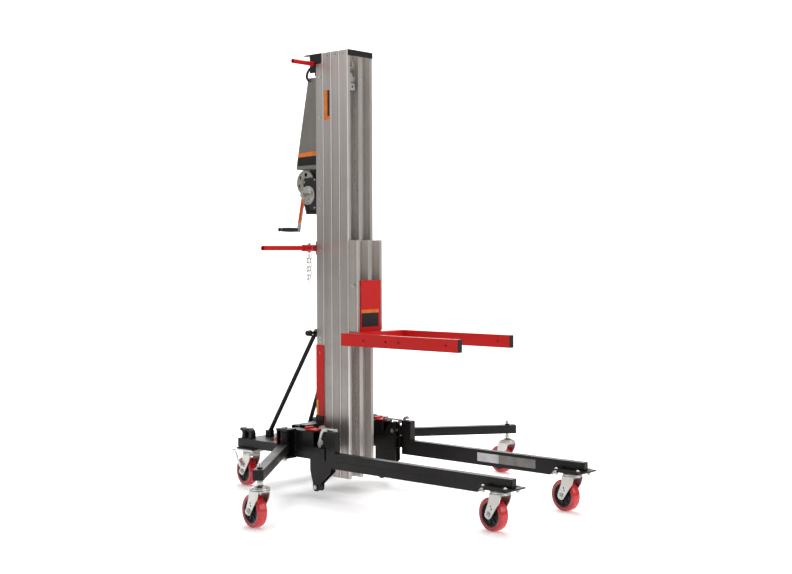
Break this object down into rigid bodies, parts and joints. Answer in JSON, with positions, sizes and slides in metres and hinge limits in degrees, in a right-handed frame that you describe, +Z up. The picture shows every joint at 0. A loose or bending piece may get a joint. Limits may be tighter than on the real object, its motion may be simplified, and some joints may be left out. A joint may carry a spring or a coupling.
{
  "type": "material lift",
  "caption": "Hand-winched material lift: nested aluminium telescoping mast, fork carriage, fold-up caster legs, swing outriggers, side crank winch and rear braces.",
  "frame": {"origin": "on the floor, under the middle of the whole machine's box", "axes": "+Z up along the mast; +X forwards along the forks; +Y to the left of a person who faces +X"},
  "size_m": [1.6214, 1.6772, 1.96],
  "materials": {
    "aluminium_extrusion": "satin, drawn lines along the length",
    "black_paint": "semi-gloss",
    "red_paint": "semi-gloss",
    "grey_paint": "satin",
    "zinc": "bright zinc plate",
    "cable_steel": "stranded wire",
    "wheel_tread": "red polyurethane on a black core",
    "black_plastic": "moulded",
    "black_rubber": "moulded grip",
    "red_plastic": "moulded",
    "nylon": "machined nylon"
  },
  "bodies": {
    "base": {"base_crossframe": "black_paint", "side_housing_right": "black_paint", "side_housing_left": "black_paint", "rear_frame": "black_paint", "rear_braces": "black_paint", "brace_pin_bracket": "black_paint", "mast_1": "aluminium_extrusion", "mast_foot_channel": "red_paint", "top_bracket": "black_paint", "top_handle": "red_paint", "cable_guard": "grey_paint", "winch_frame": "black_paint", "handle_socket": "red_paint", "side_handle": "red_paint", "retainer_chain": "zinc", "lift_cable": "cable_steel", "base_hardware": "zinc"},
    "mast_two": {"mast_2": "aluminium_extrusion"},
    "mast_three": {"mast_3": "aluminium_extrusion"},
    "mast_four": {"mast_4": "aluminium_extrusion", "mast_top_cap": "black_plastic", "cable_anchor": "zinc", "front_cable": "cable_steel"},
    "sheave_front": {"front_sheave": "nylon"},
    "sheave_rear": {"rear_sheave": "nylon"},
    "carriage_body": {"carriage": "aluminium_extrusion", "fork_frame": "red_paint", "fork_end_caps": "black_plastic"},
    "lock_pin": {"carriage_lock_pin": "zinc"},
    "drum": {"winch_drum": "zinc"},
    "crank": {"winch_crank": "zinc"},
    "grip": {"crank_grip": "black_rubber"},
    "leg_right_body": {"leg_right": "black_paint", "front_caster_mount_right": "black_paint"},
    "latch_right_body": {"latch_right": "red_paint"},
    "outrigger_right_body": {"outrigger_right": "black_paint"},
    "plunger_right": {"outrigger_plunger_right": "red_plastic"},
    "stem_right": {"levelling_stem_right": "zinc"},
    "brake_right": {"brake_lever_right": "zinc"},
    "roller_right": {"transport_roller_right": "black_rubber"},
    "leg_left_body": {"leg_left": "black_paint", "front_caster_mount_left": "black_paint"},
    "latch_left_body": {"latch_left": "red_paint"},
    "outrigger_left_body": {"outrigger_left": "black_paint"},
    "plunger_left": {"outrigger_plunger_left": "red_plastic"},
    "stem_left": {"levelling_stem_left": "zinc"},
    "brake_left": {"brake_lever_left": "zinc"},
    "roller_left": {"transport_roller_left": "black_rubber"},
    "swivel_front_right": {"caster_yoke_front_right": "zinc"},
    "wheel_front_right_body": {"wheel_front_right": "wheel_tread"},
    "swivel_front_left": {"caster_yoke_front_left": "zinc"},
    "wheel_front_left_body": {"wheel_front_left": "wheel_tread"},
    "swivel_outer_right": {"caster_yoke_outer_right": "zinc"},
    "wheel_outer_right_body": {"wheel_outer_right": "wheel_tread"},
    "swivel_outer_left": {"caster_yoke_outer_left": "zinc"},
    "wheel_outer_left_body": {"wheel_outer_left": "wheel_tread"},
    "swivel_rear_right": {"caster_yoke_rear_right": "zinc"},
    "wheel_rear_right_body": {"wheel_rear_right": "wheel_tread"},
    "swivel_rear_left": {"caster_yoke_rear_left": "zinc"},
    "wheel_rear_left_body": {"wheel_rear_left": "wheel_tread"}
  },
  "joints": [
    {"name": "mast_two_slide", "type": "slide", "parent": "base", "child": "mast_two", "axis": [0, 0, 1], "range_m": [0, 1.375]},
    {"name": "mast_three_slide", "type": "slide", "parent": "mast_two", "child": "mast_three", "axis": [0, 0, 1], "range_m": [0, 1.375]},
    {"name": "mast_four_slide", "type": "slide", "parent": "mast_three", "child": "mast_four", "axis": [0, 0, 1], "range_m": [0, 1.375]},
    {"name": "carriage_slide", "type": "slide", "parent": "mast_four", "child": "carriage_body", "axis": [0, 0, 1], "range_m": [-0.6, 0.66]},
    {"name": "lock_pin_pull", "type": "slide", "parent": "carriage_body", "child": "lock_pin", "axis": [0, -1, 0], "range_m": [0, 0.01]},
    {"name": "front_sheave_spin", "type": "hinge", "parent": "mast_four", "child": "sheave_front", "pos_m": [-0.2602, -0.038, 1.897], "axis": [1, 0, 0], "continuous": true},
    {"name": "rear_sheave_spin", "type": "hinge", "parent": "base", "child": "sheave_rear", "pos_m": [-0.462, 0.012, 1.822], "axis": [0, 1, 0], "continuous": true},
    {"name": "drum_spin", "type": "hinge", "parent": "base", "child": "drum", "pos_m": [-0.515, 0, 1.384], "axis": [0, 1, 0], "range_deg": [-1235, 1122]},
    {"name": "crank_spin", "type": "hinge", "parent": "base", "child": "crank", "pos_m": [-0.478, 0, 1.3246], "axis": [0, 1, 0], "range_deg": [-4500, 4950]},
    {"name": "grip_spin", "type": "hinge", "parent": "crank", "child": "grip", "pos_m": [-0.51099, -0.117, 1.16804], "axis": [0, 1, 0], "continuous": true},
    {"name": "leg_right_fold", "type": "hinge", "parent": "base", "child": "leg_right_body", "pos_m": [-0.217, -0.244, 0.252], "axis": [0, -1, 0], "range_deg": [0, 90]},
    {"name": "latch_right_lift", "type": "hinge", "parent": "base", "child": "latch_right_body", "pos_m": [-0.268, -0.206, 0.303], "axis": [0, 1, 0], "range_deg": [0, 20], "stiffness_Nm_per_rad": 1, "springref_deg": -20.05},
    {"name": "outrigger_right_swing", "type": "hinge", "parent": "base", "child": "outrigger_right_body", "pos_m": [-0.414, -0.29, 0.2], "axis": [0, 0, 1], "range_deg": [0, 45]},
    {"name": "plunger_right_pull", "type": "slide", "parent": "base", "child": "plunger_right", "axis": [-1, 0, 0], "range_m": [0, 0.008], "stiffness_N_per_m": 500, "springref_m": -0.006},
    {"name": "stem_right_screw", "type": "slide", "parent": "outrigger_right_body", "child": "stem_right", "axis": [0, 0, 1], "range_m": [-0.018, 0]},
    {"name": "roller_right_spin", "type": "hinge", "parent": "base", "child": "roller_right", "pos_m": [-0.286, -0.2098, 0.046], "axis": [0, 1, 0], "continuous": true},
    {"name": "leg_left_fold", "type": "hinge", "parent": "base", "child": "leg_left_body", "pos_m": [-0.217, 0.244, 0.252], "axis": [0, -1, 0], "range_deg": [0, 90]},
    {"name": "latch_left_lift", "type": "hinge", "parent": "base", "child": "latch_left_body", "pos_m": [-0.268, 0.206, 0.303], "axis": [0, 1, 0], "range_deg": [0, 20], "stiffness_Nm_per_rad": 1, "springref_deg": -20.05},
    {"name": "outrigger_left_swing", "type": "hinge", "parent": "base", "child": "outrigger_left_body", "pos_m": [-0.414, 0.29, 0.2], "axis": [0, 0, -1], "range_deg": [0, 45]},
    {"name": "plunger_left_pull", "type": "slide", "parent": "base", "child": "plunger_left", "axis": [-1, 0, 0], "range_m": [0, 0.008], "stiffness_N_per_m": 500, "springref_m": -0.006},
    {"name": "stem_left_screw", "type": "slide", "parent": "outrigger_left_body", "child": "stem_left", "axis": [0, 0, 1], "range_m": [-0.018, 0]},
    {"name": "roller_left_spin", "type": "hinge", "parent": "base", "child": "roller_left", "pos_m": [-0.286, 0.2098, 0.046], "axis": [0, 1, 0], "continuous": true},
    {"name": "swivel_front_right", "type": "hinge", "parent": "leg_right_body", "child": "swivel_front_right", "pos_m": [0.727, -0.244, 0.15], "axis": [0, 0, 1], "continuous": true},
    {"name": "wheel_front_right_roll", "type": "hinge", "parent": "swivel_front_right", "child": "wheel_front_right_body", "pos_m": [0.68767, -0.23671, 0.065], "axis": [-0.1822, -0.9833, 0], "continuous": true},
    {"name": "swivel_front_left", "type": "hinge", "parent": "leg_left_body", "child": "swivel_front_left", "pos_m": [0.727, 0.244, 0.15], "axis": [0, 0, 1], "continuous": true},
    {"name": "wheel_front_left_roll", "type": "hinge", "parent": "swivel_front_left", "child": "wheel_front_left_body", "pos_m": [0.68767, 0.25129, 0.065], "axis": [-0.1822, -0.9833, 0], "continuous": true},
    {"name": "swivel_outer_right", "type": "hinge", "parent": "stem_right", "child": "swivel_outer_right", "pos_m": [-0.01398, -0.7947, 0.15], "axis": [0, 0, 1], "continuous": true},
    {"name": "wheel_outer_right_roll", "type": "hinge", "parent": "swivel_outer_right", "child": "wheel_outer_right_body", "pos_m": [-0.05331, -0.78741, 0.065], "axis": [-0.1822, -0.9833, 0], "continuous": true},
    {"name": "swivel_outer_left", "type": "hinge", "parent": "stem_left", "child": "swivel_outer_left", "pos_m": [-0.01398, 0.7947, 0.15], "axis": [0, 0, 1], "continuous": true},
    {"name": "wheel_outer_left_roll", "type": "hinge", "parent": "swivel_outer_left", "child": "wheel_outer_left_body", "pos_m": [-0.05331, 0.80199, 0.065], "axis": [-0.1822, -0.9833, 0], "continuous": true},
    {"name": "swivel_rear_right", "type": "hinge", "parent": "base", "child": "swivel_rear_right", "pos_m": [-0.705, -0.225, 0.15], "axis": [0, 0, 1], "continuous": true},
    {"name": "wheel_rear_right_roll", "type": "hinge", "parent": "swivel_rear_right", "child": "wheel_rear_right_body", "pos_m": [-0.74433, -0.21771, 0.065], "axis": [-0.1822, -0.9833, 0], "continuous": true},
    {"name": "brake_right_press", "type": "hinge", "parent": "swivel_rear_right", "child": "brake_right", "pos_m": [-0.73843, -0.2188, 0.098], "axis": [-0.1822, -0.9833, 0], "range_deg": [-10, 10]},
    {"name": "swivel_rear_left", "type": "hinge", "parent": "base", "child": "swivel_rear_left", "pos_m": [-0.705, 0.225, 0.15], "axis": [0, 0, 1], "continuous": true},
    {"name": "wheel_rear_left_roll", "type": "hinge", "parent": "swivel_rear_left", "child": "wheel_rear_left_body", "pos_m": [-0.66539, 0.21943, 0.065], "axis": [0.1392, 0.9903, 0], "continuous": true},
    {"name": "brake_left_press", "type": "hinge", "parent": "swivel_rear_left", "child": "brake_left", "pos_m": [-0.67133, 0.22027, 0.098], "axis": [0.1392, 0.9903, 0], "range_deg": [-10, 10]}
  ],
  "couplings": [
    {"joint": "carriage_slide", "follows": "drum_spin", "m_per_rad": -0.0306},
    {"joint": "crank_spin", "follows": "drum_spin", "ratio": -4}
  ]
}
